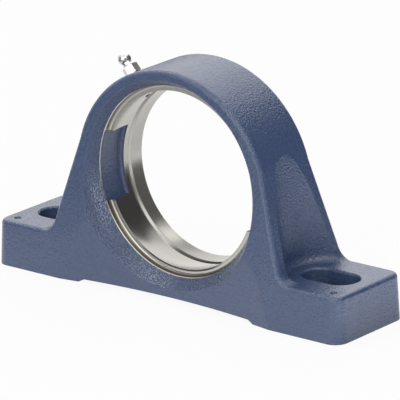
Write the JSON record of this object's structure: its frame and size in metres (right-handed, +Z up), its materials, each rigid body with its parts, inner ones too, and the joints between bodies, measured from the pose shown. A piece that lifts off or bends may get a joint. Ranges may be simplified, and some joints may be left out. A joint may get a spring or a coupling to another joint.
{
  "type": "pillow block housing",
  "caption": "Painted cast pillow block housing with a spherical bearing seat, filling slots, slotted feet and a grease nipple.",
  "frame": {"origin": "centre of the base's underside, under the bore's axis", "axes": "+X along the foot, +Y along the bore towards the plain back, +Z up"},
  "size_m": [0.21, 0.052, 0.1122],
  "materials": {
    "painted_iron": "blue-grey paint over cast skin, seat and recess machined bare",
    "plated_steel": "bright zinc",
    "hard_steel": "polished",
    "spring_steel": "drawn wire"
  },
  "bodies": {
    "block": {"housing": "painted_iron", "nipple_body": "plated_steel", "nipple_spring": "spring_steel"},
    "check_ball": {"nipple_ball": "hard_steel"}
  },
  "joints": [
    {"name": "ball_lift", "type": "slide", "parent": "block", "child": "check_ball", "axis": [0.6691, 0, -0.7431], "range_m": [0, 0.0008], "stiffness_N_per_m": 200, "springref_m": -0.0005, "deforming": ["nipple_spring"]}
  ]
}
